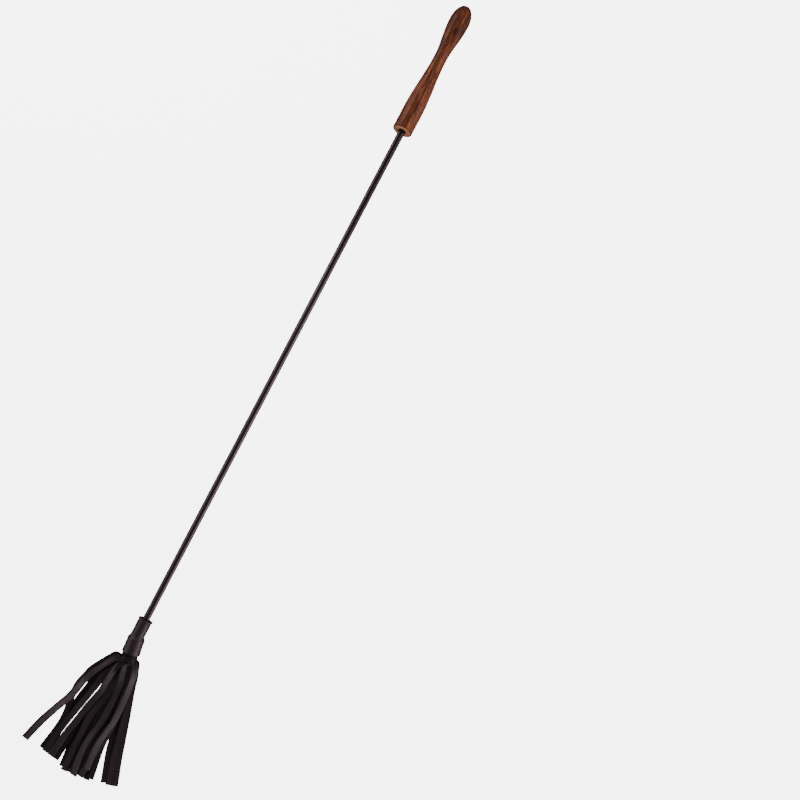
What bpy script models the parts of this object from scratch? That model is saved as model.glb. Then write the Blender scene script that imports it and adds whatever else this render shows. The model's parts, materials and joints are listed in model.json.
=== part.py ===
"""Whisk-type fly swatter: turned wooden handle, long thin sleeved rod, stepped rubber ferrule
and a tassel of leather strips, lying on a table. Metres, +Z up, +X from the handle to the tassel.
The origin is on the table, under the middle of the whole swatter."""

import math

import bmesh
import bpy
from mathutils import Matrix, Vector

MM = 0.001
GAP = 0.3 * MM

HANDLE_LENGTH = 117 * MM
HANDLE_BULB_RADIUS = 8.8 * MM
HANDLE_BULB_AT = 15 * MM
HANDLE_DOME_POWER = 2.2
HANDLE_WAIST_RADIUS = 5.65 * MM
HANDLE_WAIST_AT = 48 * MM
HANDLE_FRONT_RADIUS = 8.6 * MM
HANDLE_FRONT_FROM = 98 * MM
HANDLE_EDGE_RADIUS = 0.8 * MM
HANDLE_BORE_DEPTH = 42 * MM

ROD_RADIUS = 2.9 * MM
ROD_CORE_RADIUS = 1.9 * MM
ROD_VISIBLE = 462.5 * MM

FERRULE_LENGTH = 31.4 * MM
FERRULE_WIDE_LENGTH = 13.5 * MM
FERRULE_SHOULDER_LENGTH = 2.8 * MM
FERRULE_LIP_LENGTH = 2.6 * MM
FERRULE_WIDE_RADIUS = 7.35 * MM
FERRULE_MOUTH_RADIUS = 7.8 * MM
FERRULE_NARROW_RADIUS = 5.6 * MM
FERRULE_LIP_RADIUS = 6.3 * MM
FERRULE_CUP_RADIUS = 6.6 * MM
FERRULE_WEB = 1.2 * MM
FERRULE_BEND = math.radians(6.2)
FERRULE_BEND_LENGTH = 3 * MM

ROOT_BOUND_RADIUS = 5.4 * MM
ROOT_NECK_RADIUS = 6.1 * MM
ROOT_NECK_BEYOND_MOUTH = 1.5 * MM
ROOT_FAN_HALF_WIDTH = 7.2 * MM
ROOT_FAN_HALF_HEIGHT = 4.4 * MM
ROOT_FAN_REACH = 7.5 * MM

THREAD_RADIUS = 0.25 * MM
THREAD_TURNS = 7
THREAD_PITCH = 0.85 * MM

STRIP_WIDTH = 5.4 * MM
STRIP_THICKNESS = 0.9 * MM
STRIP_START = 8.0 * MM
STRIP_FULL_WIDTH_FROM = 38 * MM
LIFT_AXIS_AHEAD = 6.5 * MM
STRIP_LANDS_AT = 62 * MM
STRIP_STATIONS = 24
TIER_ROOT_PITCH = 2.2 * MM
TIER_REST_PITCH = 1.2 * MM

LATHE_SEGMENTS = 36

# Each tier, from the table up: its name, the half width of its row of roots, the width of a strip
# at its root, and its strips from one side to the other. A strip is the points it passes through
# after its root, in millimetres ahead of the ferrule's mouth and to its side.
TIERS = (
    ("bottom", 5.2, 1.6, (
        ((34, -12.9), (60, -18.1), (84, -23.1), (108.4, -24.2)),
        ((34, -6.2), (60, -11.3), (84, -16), (109.4, -17)),
        ((34, -0.6), (65, -5.4), (92, -7.8), (112.5, -6.8)),
        ((34, 5), (65, 1.5), (88, 1.6), (114.4, 2)),
        ((34, 10.6), (65, 11.5), (88, 12.9), (112, 15.6)),
        ((34, 16.2), (62, 19.6), (80, 21.1), (109.2, 30.2)),
    )),
    ("lower", 6.4, 2.1, (
        ((12, -10.8), (30, -17.9), (42, -18.7), (55, -21.1), (80, -24.2), (108.3, -23.8)),
        ((34, -5.6), (65, -8.6), (87, -12.8), (109.8, -15.2)),
        ((34, -0.2), (65, -0.8), (88, -2.6), (114, -4.2)),
        ((34, 5.1), (65, 8), (88, 6.4), (116, 4.6)),
        ((20, 7.7), (34, 11.3), (62, 16.2), (80, 14.3), (111, 18.6)),
        ((9.5, 9.4), (20, 13.1), (36, 17.7), (65, 26.5), (88, 33.5), (107.1, 40.2)),
    )),
    ("upper", 6.4, 2.1, (
        ((10, -12.8), (26, -22), (34, -25), (41, -26.9), (48, -27.7), (58, -27.3),
         (78, -25), (107.2, -29.3)),
        ((34, -6), (60, -11.5), (84, -16.8), (108.8, -20.2)),
        ((34, -0.6), (65, -4), (88, -6.2), (112.5, -6.9)),
        ((34, 4.8), (65, 4.6), (88, 2.4), (114.6, 1.4)),
        ((20, 7.9), (34, 11), (65, 14.2), (88, 12), (113.4, 10)),
        ((9.5, 8.8), (20, 12.7), (34, 16.7), (65, 23.6), (88, 28.8), (108.1, 34.6)),
    )),
    ("top", 5.2, 1.6, (
        ((14, -12.9), (22, -17.3), (31, -22), (40, -24.9), (47, -26.5), (57, -28.9),
         (70, -34.3), (87, -40.7), (105.8, -46)),
        ((26, -11.6), (36, -13), (60, -18), (84, -22.9), (108, -25.6)),
        ((27, -6.4), (45, -8), (60, -11.5), (84, -16.9), (109, -19.9)),
        ((28, -1), (45, -2), (63, -6), (88, -5.4), (112, -5.2)),
        ((28, 4.4), (42, 4.8), (57, 5.1), (68, 4.4), (79, 2.4), (92, 1.6), (113.5, 3.9)),
        ((9.5, 8.8), (20, 12.1), (38, 13.4), (57, 14.1), (68, 12.7), (80, 11), (92, 11.1), (105, 12.2)),
    )),
)

FERRULE_LIP_AT = HANDLE_LENGTH + ROD_VISIBLE
FERRULE_MOUTH_AT = FERRULE_LIP_AT + FERRULE_LENGTH
SHOULDER_AT = FERRULE_MOUTH_AT - FERRULE_WIDE_LENGTH
BEND_AT = SHOULDER_AT - FERRULE_SHOULDER_LENGTH
AXIS_HEIGHT = HANDLE_BULB_RADIUS
BEND = Matrix.Rotation(FERRULE_BEND, 4, "Z")
MOUTH = Vector((BEND_AT, 0, 0)) + BEND @ Vector((FERRULE_MOUTH_AT - BEND_AT, 0, 0))


def clear_scene():
    for existing in list(bpy.data.objects):
        bpy.data.objects.remove(existing)


def material(name, colour, roughness, metallic=0.0):
    made = bpy.data.materials.new(name)
    made.use_nodes = True
    shader = made.node_tree.nodes["Principled BSDF"]
    shader.inputs["Base Color"].default_value = (*colour, 1)
    shader.inputs["Roughness"].default_value = roughness
    shader.inputs["Metallic"].default_value = metallic
    return made


def add_object(name, data, finish, parent, location=(0, 0, 0)):
    made = bpy.data.objects.new(name, data)
    made.data.materials.append(finish)
    made.parent = parent
    made.location = location
    bpy.context.collection.objects.link(made)
    return made


def mesh_from(bm, name, smooth=True):
    bmesh.ops.recalc_face_normals(bm, faces=bm.faces)
    mesh = bpy.data.meshes.new(name)
    bm.to_mesh(mesh)
    bm.free()
    if smooth:
        mesh.shade_smooth()
        mesh.set_sharp_from_angle(angle=math.radians(40))
    return mesh


def turned(profile, closed=False):
    """A solid turned about X from (x, radius) points; a closed profile makes a ring or a tube."""
    bm = bmesh.new()
    points = [bm.verts.new((x, 0, radius)) for x, radius in profile]
    edges = [bm.edges.new(pair) for pair in zip(points, points[1:])]
    if closed:
        edges.append(bm.edges.new((points[-1], points[0])))
    bmesh.ops.spin(
        bm, geom=points + edges, cent=(0, 0, 0), axis=(1, 0, 0),
        angle=2 * math.pi, steps=LATHE_SEGMENTS, use_merge=True,
    )
    bmesh.ops.remove_doubles(bm, verts=bm.verts, dist=1e-7)
    return bm


def arc(centre_x, centre_radius, radius, start, end, steps):
    """Points on a circle in the (x, radius) plane, with angles in degrees from +X."""
    angles = [math.radians(start + (end - start) * i / steps) for i in range(steps + 1)]
    return [(centre_x + radius * math.cos(a), centre_radius + radius * math.sin(a)) for a in angles]


def ease(t):
    t = min(max(t, 0), 1)
    return t * t * (3 - 2 * t)


def handle_radius(x):
    """Domed butt and bulb, a slim waist, then a swell to the straight front."""
    if x < HANDLE_BULB_AT:
        share = 1 - ((HANDLE_BULB_AT - x) / HANDLE_BULB_AT) ** HANDLE_DOME_POWER
        return HANDLE_BULB_RADIUS * share ** (1 / HANDLE_DOME_POWER)
    if x < HANDLE_WAIST_AT:
        t = (x - HANDLE_BULB_AT) / (HANDLE_WAIST_AT - HANDLE_BULB_AT)
        return HANDLE_BULB_RADIUS + (HANDLE_WAIST_RADIUS - HANDLE_BULB_RADIUS) * ease(t)
    t = (x - HANDLE_WAIST_AT) / (HANDLE_FRONT_FROM - HANDLE_WAIST_AT)
    return HANDLE_WAIST_RADIUS + (HANDLE_FRONT_RADIUS - HANDLE_WAIST_RADIUS) * ease(t)


def make_handle(parent):
    dome = [HANDLE_BULB_AT * (1 - math.cos(math.pi / 2 * i / 7)) for i in range(8)]
    body_end = HANDLE_LENGTH - HANDLE_EDGE_RADIUS
    body = [HANDLE_BULB_AT + (body_end - HANDLE_BULB_AT) * i / 20 for i in range(1, 21)]
    profile = [(x, handle_radius(x)) for x in dome + body]
    profile += arc(body_end, HANDLE_FRONT_RADIUS - HANDLE_EDGE_RADIUS, HANDLE_EDGE_RADIUS, 90, 0, 3)[1:]
    bore = ROD_RADIUS + GAP
    profile += [(HANDLE_LENGTH, bore), (HANDLE_LENGTH - HANDLE_BORE_DEPTH, bore)]
    profile += [(HANDLE_LENGTH - HANDLE_BORE_DEPTH, 0)]
    wood = material("wood", (0.19, 0.05, 0.02), 0.35)
    return add_object("handle", mesh_from(turned(profile), "handle"), wood, parent)


def make_rod(parent):
    start = HANDLE_LENGTH - HANDLE_BORE_DEPTH + 2 * GAP
    end = SHOULDER_AT - FERRULE_WEB - GAP
    core = [(start, 0), (start, ROD_CORE_RADIUS), (end, ROD_CORE_RADIUS), (end, 0)]
    glass_fibre = material("glass_fibre", (0.55, 0.5, 0.4), 0.5)
    add_object("rod_core", mesh_from(turned(core), "rod_core"), glass_fibre, parent)
    inside = ROD_CORE_RADIUS + GAP
    sleeve = [(start, inside), (start, ROD_RADIUS), (end, ROD_RADIUS), (end, inside)]
    plastic = material("black_plastic", (0.012, 0.01, 0.012), 0.18)
    add_object("rod_sleeve", mesh_from(turned(sleeve, closed=True), "rod_sleeve"), plastic, parent)


def bend_from_shoulder(bm):
    """Turns everything beyond the start of the shoulder about it, and shares the turn out round it."""
    pivot = Vector((BEND_AT, 0, 0))
    for vert in bm.verts:
        turn = FERRULE_BEND * ease((vert.co.x - BEND_AT) / FERRULE_BEND_LENGTH + 0.5)
        vert.co = pivot + Matrix.Rotation(turn, 3, "Z") @ (vert.co - pivot)


def make_ferrule(parent):
    mouth, lip = FERRULE_MOUTH_AT, FERRULE_LIP_AT
    narrow, wide, flared = FERRULE_NARROW_RADIUS, FERRULE_WIDE_RADIUS, FERRULE_MOUTH_RADIUS
    bead = FERRULE_LIP_LENGTH / 2
    bore = ROD_RADIUS + GAP
    profile = [(lip, bore + GAP)]
    profile += arc(lip + bead, FERRULE_LIP_RADIUS - bead, bead, 180, 20, 6)
    profile += [(lip + FERRULE_LIP_LENGTH + 0.3 * MM, narrow - 0.1 * MM)]
    profile += [(lip + FERRULE_LIP_LENGTH + 5 * MM, narrow)]
    profile += [(BEND_AT - FERRULE_BEND_LENGTH / 2, narrow)]
    profile += [(BEND_AT, narrow + 0.1 * MM)]
    profile += arc(SHOULDER_AT + 0.4 * MM, wide - 1.3 * MM, 1.3 * MM, 150, 90, 3)
    profile += [(SHOULDER_AT + 3.5 * MM, wide)]
    profile += arc(mouth - 1.1 * MM, flared - 1.1 * MM, 1.1 * MM, 90, 0, 4)
    profile += [(mouth, FERRULE_CUP_RADIUS), (SHOULDER_AT, FERRULE_CUP_RADIUS)]
    profile += [(SHOULDER_AT, ROD_CORE_RADIUS), (SHOULDER_AT - FERRULE_WEB, ROD_CORE_RADIUS)]
    profile += [(SHOULDER_AT - FERRULE_WEB, bore)]
    bm = turned(profile, closed=True)
    bend_from_shoulder(bm)
    rubber = material("rubber", (0.035, 0.028, 0.032), 0.7)
    add_object("ferrule", mesh_from(bm, "ferrule"), rubber, parent)


def make_root(tassel, leather):
    """The gathered ends of the strips: a bound plug in the ferrule's cup, a neck and a fan of stubs."""
    plug_start = GAP * 2 - FERRULE_WIDE_LENGTH
    rings = [
        (plug_start, ROOT_BOUND_RADIUS),
        (-2.4 * MM, ROOT_BOUND_RADIUS),
        (-1.6 * MM, ROOT_NECK_RADIUS),
        (ROOT_NECK_BEYOND_MOUTH, ROOT_NECK_RADIUS),
    ]
    bm = bmesh.new()
    angles = [2 * math.pi * i / LATHE_SEGMENTS for i in range(LATHE_SEGMENTS)]
    loops = []
    for x, radius in rings:
        loops.append([bm.verts.new((x, radius * math.cos(a), radius * math.sin(a))) for a in angles])
    fan = []
    for a in angles:
        y = ROOT_FAN_HALF_WIDTH * math.cos(a)
        x = math.sqrt(ROOT_FAN_REACH ** 2 - y * y)
        fan.append(bm.verts.new((x, y, ROOT_FAN_HALF_HEIGHT * math.sin(a))))
    loops.append(fan)
    for near, far in zip(loops, loops[1:]):
        for i in range(LATHE_SEGMENTS):
            bm.faces.new((near[i - 1], near[i], far[i], far[i - 1]))
    bm.faces.new(loops[0])
    half = LATHE_SEGMENTS // 2
    for i in range(half):
        upper, lower = (fan[i], fan[i + 1]), (fan[-i - 1], fan[-i])
        bm.faces.new(dict.fromkeys((*upper, *lower)))
    add_object("tassel_root", mesh_from(bm, "tassel_root"), leather, tassel)


def make_thread(tassel):
    """Waxed thread wound round the plug, inside the ferrule's cup."""
    radius = ROOT_BOUND_RADIUS + GAP + THREAD_RADIUS
    curve = bpy.data.curves.new("binding_thread", "CURVE")
    curve.dimensions = "3D"
    curve.bevel_depth = THREAD_RADIUS
    curve.bevel_resolution = 0
    curve.use_fill_caps = True
    steps = THREAD_TURNS * 18
    spline = curve.splines.new("POLY")
    spline.points.add(steps)
    start = 3 * MM - FERRULE_WIDE_LENGTH
    for i, point in enumerate(spline.points):
        a = 2 * math.pi * THREAD_TURNS * i / steps
        x = start + THREAD_PITCH * THREAD_TURNS * i / steps
        point.co = (x, radius * math.cos(a), radius * math.sin(a), 1)
    thread = material("waxed_thread", (0.25, 0.2, 0.12), 0.6)
    add_object("binding_thread", curve, thread, tassel)


def hermite(points, start_direction, steps):
    """A smooth plan curve through the points that leaves the first one along start_direction."""
    slopes = [start_direction * (points[1] - points[0]).length]
    slopes += [(after - before) / 2 for before, after in zip(points, points[2:])]
    slopes.append(points[-1] - points[-2])
    spans = len(points) - 1
    curve = []
    for step in range(steps + 1):
        along = spans * step / steps
        i = min(int(along), spans - 1)
        t = along - i
        curve.append(
            points[i] * (2 * t ** 3 - 3 * t ** 2 + 1)
            + slopes[i] * (t ** 3 - 2 * t ** 2 + t)
            + points[i + 1] * (3 * t ** 2 - 2 * t ** 3)
            + slopes[i + 1] * (t ** 3 - t ** 2)
        )
    return curve


def strip_height(tier, reach):
    """Height of a tier over the ferrule's axis: spread at the roots, settled on the table further out."""
    root = (tier - 1.5) * TIER_ROOT_PITCH
    rest = STRIP_THICKNESS / 2 + tier * TIER_REST_PITCH - AXIS_HEIGHT
    return root + (rest - root) * ease((reach - STRIP_START) / (STRIP_LANDS_AT - STRIP_START))


def make_strip(name, tier, path, root_width, pivot, tassel, leather):
    """A ribbon of leather along a plan path, narrow and gathered at its root and square at its tip."""
    bm = bmesh.new()
    loops = []
    for i, point in enumerate(path):
        ahead = path[min(i + 1, len(path) - 1)] - path[max(i - 1, 0)]
        side = Vector((-ahead.y, ahead.x, 0)).normalized()
        reach = point.length
        widen = ease((reach - STRIP_START) / (STRIP_FULL_WIDTH_FROM - STRIP_START))
        half = side * (root_width + (STRIP_WIDTH - root_width) * widen) / 2
        centre = Vector((point.x, point.y, strip_height(tier, reach))) - pivot
        up = Vector((0, 0, STRIP_THICKNESS / 2))
        corners = (centre - half - up, centre + half - up, centre + half + up, centre - half + up)
        loops.append([bm.verts.new(corner) for corner in corners])
    for near, far in zip(loops, loops[1:]):
        for i in range(4):
            bm.faces.new((near[i - 1], near[i], far[i], far[i - 1]))
    bm.faces.new(loops[0])
    bm.faces.new(loops[-1])
    return add_object(name, mesh_from(bm, name), leather, tassel, pivot)


def make_strips(tassel, leather):
    """The outer tiers hinge up or down on a line across the roots; the middle tiers turn about the neck."""
    for tier, (tier_name, half_row, root_width, strips) in enumerate(TIERS):
        for number, waypoints in enumerate(strips):
            across = half_row * MM * (2 * number / (len(strips) - 1) - 1)
            root = Vector((math.sqrt(STRIP_START ** 2 - across ** 2), across))
            turned_back = Matrix.Rotation(-FERRULE_BEND, 2)
            points = [root] + [turned_back @ Vector(point) * MM for point in waypoints]
            path = hermite(points, root.normalized(), STRIP_STATIONS)
            lifts = tier_name in ("top", "bottom")
            pivot = Vector((LIFT_AXIS_AHEAD if lifts else 0, 0, strip_height(tier, STRIP_START)))
            name = f"strip_{tier_name}_{number + 1}"
            make_strip(name, tier, path, root_width * MM, pivot, tassel, leather)


def stand_over_origin(swatter):
    """Puts the origin on the table, under the middle of the whole swatter."""
    bpy.context.view_layer.update()
    corners = [
        thing.matrix_world @ vert.co
        for thing in bpy.data.objects if thing.type == "MESH"
        for vert in thing.data.vertices
    ]
    middle = [(min(c[i] for c in corners) + max(c[i] for c in corners)) / 2 for i in range(2)]
    swatter.location = (-middle[0], -middle[1], AXIS_HEIGHT)


def main():
    clear_scene()
    swatter = bpy.data.objects.new("swatter", None)
    bpy.context.collection.objects.link(swatter)
    tassel = bpy.data.objects.new("tassel", None)
    bpy.context.collection.objects.link(tassel)
    tassel.parent = swatter
    tassel.location = MOUTH
    tassel.rotation_euler = (0, 0, FERRULE_BEND)
    leather = material("leather", (0.03, 0.022, 0.028), 0.55)
    make_handle(swatter)
    make_rod(swatter)
    make_ferrule(swatter)
    make_root(tassel, leather)
    make_thread(tassel)
    make_strips(tassel, leather)
    stand_over_origin(swatter)


main()
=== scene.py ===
"""Looks for the leather strip fly swatter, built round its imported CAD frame.

Lengths in the tables are millimetres; MM turns them into the metres of the frame."""

import json
import math
import random

import bmesh
import bpy
import numpy as np
from mathutils import Matrix, Vector, noise

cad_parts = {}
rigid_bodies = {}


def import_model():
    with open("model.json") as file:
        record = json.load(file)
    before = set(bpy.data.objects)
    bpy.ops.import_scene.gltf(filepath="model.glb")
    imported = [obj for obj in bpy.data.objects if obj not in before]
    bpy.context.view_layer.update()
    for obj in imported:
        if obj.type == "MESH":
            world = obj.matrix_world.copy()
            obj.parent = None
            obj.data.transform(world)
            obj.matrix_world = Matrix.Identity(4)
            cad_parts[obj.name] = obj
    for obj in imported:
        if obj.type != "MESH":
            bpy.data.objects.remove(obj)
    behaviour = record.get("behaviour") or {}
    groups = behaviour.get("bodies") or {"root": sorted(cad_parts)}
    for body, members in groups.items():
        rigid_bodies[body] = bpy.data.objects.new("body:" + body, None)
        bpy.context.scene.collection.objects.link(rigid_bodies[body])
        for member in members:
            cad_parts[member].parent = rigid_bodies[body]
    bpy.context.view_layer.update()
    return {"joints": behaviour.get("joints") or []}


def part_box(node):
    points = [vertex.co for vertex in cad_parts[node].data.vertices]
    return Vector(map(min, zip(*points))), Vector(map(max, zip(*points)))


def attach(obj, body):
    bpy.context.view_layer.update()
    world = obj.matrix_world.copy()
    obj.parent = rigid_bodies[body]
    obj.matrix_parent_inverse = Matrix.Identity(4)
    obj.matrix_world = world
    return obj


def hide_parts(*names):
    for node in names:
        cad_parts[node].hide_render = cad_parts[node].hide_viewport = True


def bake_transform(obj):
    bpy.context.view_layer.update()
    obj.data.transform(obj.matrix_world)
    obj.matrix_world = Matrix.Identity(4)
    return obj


MM = 0.001

HANDLE_LENGTH = 117
HANDLE_BULB_RADIUS = 8.8
HANDLE_BULB_AT = 15
HANDLE_DOME_POWER = 2.2
HANDLE_WAIST_RADIUS = 5.65
HANDLE_WAIST_AT = 48
HANDLE_FRONT_RADIUS = 8.75
HANDLE_FRONT_FROM = 98
HANDLE_EDGE_RADIUS = 0.7
HANDLE_BORE_RADIUS = 3.2
HANDLE_BORE_DEPTH = 42
HANDLE_BORE_CHAMFER = 0.45

ROD_RADIUS = 3.05
ROD_BORE_RADIUS = 2.2
ROD_END_ROUNDING = 0.25

FERRULE_LENGTH = 31.4
FERRULE_WIDE_LENGTH = 13.5
FERRULE_SHOULDER_LENGTH = 2.8
FERRULE_WIDE_RADIUS = 7.5
FERRULE_MOUTH_RADIUS = 8.0
FERRULE_NARROW_RADIUS = 5.95
FERRULE_LIP_RADIUS = 6.55
FERRULE_CUP_RADIUS = 6.6
FERRULE_WEB = 1.2
FERRULE_BORE_RADIUS = 3.2
FERRULE_BEND_LENGTH = 3

NECK_RADIUS = 5.7
NECK_START = -2.6
NECK_END = 0.6

STRIP_WIDTH = 5.7
STRIP_THICKNESS = 0.8
STRIP_NECK_WIDTH = 3.8
STRIP_START = 8.0
STRIP_LANDS_AT = 62
MIDDLE_TIER = 1.5
TIER_ROOT_PITCH = 2.2
TIER_REST_PITCH = 1.2
TIER_REST_HEIGHT = 0.45
AXIS_HEIGHT = 8.8
STATION_STEP = 1.0
OUTERMOST_UNROLLED_AT = 12
UNROLLED_AT = (24, 32)
TIP_SLANT = 0.05
STRIP_CORNER = 0.16
# degrees round the neck from straight up: how far the outer tiers reach, and where the outermost
# strips of the two inner tiers sit
OUTER_TIER_SPREAD = 54
UPPER_OUTERMOST_TURN = 77
LOWER_OUTERMOST_TURN = 103
# inside the neck: the half width of the inner tiers' other roots and the height between them
INNER_TIER_HALF_ROW = 4.3
INNER_TIER_PITCH = 1.2
STRIP_SEED = 20

# the gathered root: places ahead of the mouth and the radius there
ROOT_STATIONS = (
    (-12.6, 5.1), (-8, 5.1), (-4, 5.2), (-1.5, 5.6), (0.5, 5.8), (2.5, 5.5), (4.5, 4.4), (6.2, 2.6),
)
ROOT_SHIFT = -0.5
ROOT_TONE = 0.35

# Each tier, from the table up: its name, the half width of its row of roots and its strips from one
# side to the other. A strip is the points it passes through after its root, in millimetres ahead of
# the ferrule's mouth and to its side.
TIERS = (
    ("bottom", 5.2, (
        ((34, -12.9), (60, -18.1), (84, -23.1), (108.4, -24.2)),
        ((34, -6.2), (60, -11.3), (84, -16), (109.4, -17)),
        ((34, -0.6), (65, -5.4), (92, -8.6), (114, -7.2)),
        ((34, 5), (65, 1.5), (88, 1.6), (114.4, 2)),
        ((34, 10.6), (65, 11.5), (88, 12.9), (114.5, 15.9)),
        ((34, 16.2), (62, 19.6), (80, 21.1), (109.9, 30.6)),
    )),
    ("lower", 6.4, (
        ((12, -10.8), (30, -17.9), (42, -18.7), (55, -21.1), (80, -24.2), (108.3, -23.8)),
        ((34, -5.6), (65, -8.6), (87, -12.8), (110.6, -15.3)),
        ((34, -0.2), (65, -0.8), (88, -2.6), (116, -4.4)),
        ((34, 5.1), (65, 8), (88, 6.4), (116, 4.6)),
        ((20, 7.7), (34, 11.3), (62, 16.2), (80, 14.3), (112, 18.8)),
        ((9.5, 9.9), (20, 13.1), (36, 17.7), (65, 26.5), (88, 33.4), (107.8, 40.2)),
    )),
    ("upper", 6.4, (
        ((6.2, -10.2), (10, -13.1), (26, -22.4), (34, -24.9), (41, -26.9), (48, -27.7), (58, -27.3),
         (78, -25), (107.2, -29.3)),
        ((34, -6), (60, -11.5), (84, -16.8), (108.8, -20.2)),
        ((34, -0.6), (65, -4), (88, -6.2), (112.5, -6.9)),
        ((34, 4.8), (65, 4.6), (88, 2.4), (114.6, 1.4)),
        ((20, 7.9), (34, 11), (65, 14.2), (88, 12), (113.6, 10)),
        ((9.5, 8.8), (20, 12.7), (34, 16.7), (65, 23.6), (88, 28.8), (108.9, 35.1)),
    )),
    ("top", 5.2, (
        ((7.5, -8.6), (14, -12.9), (22, -17.3), (31, -22), (40, -25), (47, -26.3), (57, -28.9),
         (70, -34.3), (87, -40.7), (105.8, -46)),
        ((26, -11.6), (36, -13), (60, -18), (84, -22.9), (108, -25.6)),
        ((13, -4.4), (20, -5.9), (30, -6.9), (38, -7.1), (45, -8.6), (60, -12.1), (76, -14.9),
         (84, -16.9), (109, -19.9)),
        ((28, -1), (45, -2), (63, -6), (88, -5.4), (112, -5.2)),
        ((12, 1.4), (26, 3.8), (42, 4.8), (57, 5.1), (68, 4.4), (79, 2.4), (92, 1.6), (113.5, 3.9)),
        ((9.5, 9.6), (20, 12.1), (38, 13.4), (57, 14.1), (68, 12.7), (80, 11), (92, 11.1),
         (105, 12.2)),
    )),
)

# How a strip differs from its neighbours: which face is up, how pale it is, its roll in degrees and
# where its hide was cut wide. The tone keys mix the leather's own tone with painted highlight and
# shade: lighter where a strip's tilted part catches the side light, darker where it lies in shade.
# The pairs start with a distance from the mouth.
STRIP_LOOKS = {
    "strip_top_1": {
        "grain_up": True,
        "tone_and_painted_light": ((12, 0.1), (22, 0.7), (32, 0.45), (40, 0.1), (50, 1.0), (60, 0.75), (72, 0.85),
                 (90, 0.4)),
        "roll": ((16, -10), (24, -26), (38, -16), (50, -24), (60, -18), (72, -24), (90, -12),
                 (106, -6)),
        "width": ((36, 5.5), (46, 6.8), (106, 6.5)),
    },
    "strip_top_2": {
        "grain_up": False,
        "tone_and_painted_light": ((20, 0.0), (32, 0.4), (55, 0.6), (72, 0.4), (82, 0.0), (105, 0.25)),
        "roll": ((30, 8), (60, -6), (106, 2)),
    },
    "strip_top_3": {
        "grain_up": True,
        "tone_and_painted_light": ((13, 0.0), (20, 0.6), (32, 0.6), (42, 0.25), (52, 0.0), (62, 0.08), (105, 0.0)),
        "roll": ((16, -24), (34, -18), (50, 6), (80, 4), (110, 0)),
    },
    "strip_top_4": {
        "grain_up": False,
        "tone_and_painted_light": ((22, 0.0), (42, 0.0), (56, 0.35), (80, 0.5), (92, 0.3), (112, 0.45)),
        "roll": ((20, 8), (44, 10), (70, -6), (112, 3)),
    },
    "strip_top_5": {
        "grain_up": True,
        "tone_and_painted_light": ((13, 0.0), (22, 0.17), (31, 0.0), (45, 0.12), (70, 0.18), (79, 0.32), (102, 0.24),
                 (112, 0.15)),
        "roll": ((16, -2), (22, -12), (30, -6), (46, 8), (70, -8), (82, -14), (113, -8)),
    },
    "strip_top_6": {
        "grain_up": True,
        "tone_and_painted_light": ((12, 0.2), (22, 0.55), (32, 0.48), (50, 0.42), (60, 0.6), (70, 0.42), (80, 0.5),
                 (100, 0.45)),
        "roll": ((14, -16), (22, -32), (40, -20), (62, -26), (84, -22), (106, -14)),
    },
    "strip_upper_1": {"grain_up": False, "tone_and_painted_light": ((20, 0.15),)},
    "strip_lower_1": {"grain_up": False, "tone_and_painted_light": ((20, 0.25),)},
    "strip_upper_6": {"grain_up": False, "tone_and_painted_light": ((14, 0.1), (30, 0.5))},
    "strip_lower_6": {"grain_up": False, "tone_and_painted_light": ((14, 0.1), (30, 0.55))},
    "strip_bottom_6": {"grain_up": False, "tone_and_painted_light": ((14, 0.1), (30, 0.75))},
}

LATHE_SEGMENTS = 96

# metres from the swatter's rest down to the floor, which leaves its under tier room to hang
FLOOR_DROP = 0.13
FLOOR_HALF = 30.0
FLOOR_GLOW = 5.0
BACKDROP_GLOW = 5.2
TENT_GLOW = 2.6
STUDIO_TINT = (1.0, 0.9, 0.92)

# the camera over the table: its place in millimetres, the way its picture's right side points, its
# lens in millimetres and how far that lens is shifted
CAMERA_FROM_MOUTH = (-170.6, 21.8, 690.0)
CAMERA_RIGHT = (-0.4645, 0.8856, 0)
CAMERA_LENS = 37
CAMERA_SHIFT = (0.19, 0.1067)
# metres from its stand beyond which the lens isn't shifted
CAMERA_LEAVES_STAND = 0.1

# each light's place and aim in metres, its two sides in metres and its power in watts
LIGHTS = {
    "right_softbox": ((0.1, 1.3, 0.34), (0.1, 0, 0), (2.4, 0.4), 14),
    "left_softbox": ((0.1, -1.3, 0.3), (0.1, 0, 0), (2.4, 0.35), 5),
    "handle_key": ((-0.78, 0.57, 0.68), (-0.3, 0, 0), (0.4, 0.05), 2.4),
    "handle_fill": ((-0.5, -0.55, 0.26), (-0.3, 0, 0), (0.5, 0.3), 3.2),
}


def ease(t):
    t = np.clip(t, 0, 1)
    return t * t * (3 - 2 * t)


# ---------------------------------------------------------------- the frame

def read_layout(frame):
    """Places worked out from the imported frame, in millimetres."""
    handle_low, handle_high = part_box("handle")
    ferrule_low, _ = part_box("ferrule")
    sleeve_low, sleeve_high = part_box("rod_sleeve")
    joints = {joint["name"]: joint for joint in frame["joints"]}
    mouth = Vector(joints["strip_upper_1_swing"]["pos_m"]) / MM
    lift = Vector(joints["strip_top_1_lift"]["axis"])
    axis_y = (handle_low.y + handle_high.y) / 2 / MM
    axis_z = (handle_low.z + handle_high.z) / 2 / MM
    ahead = Vector((-lift.y, lift.x, 0)).normalized()
    return {
        "butt": handle_low.x / MM,
        "front": handle_high.x / MM,
        "axis": (axis_y, axis_z),
        "lip": ferrule_low.x / MM,
        "sleeve": (sleeve_low.x / MM, sleeve_high.x / MM),
        "mouth": Vector((mouth.x, mouth.y, axis_z)),
        "ahead": ahead,
        "bend": math.atan2(ahead.y, ahead.x),
    }


# ---------------------------------------------------------------- meshes

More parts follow.
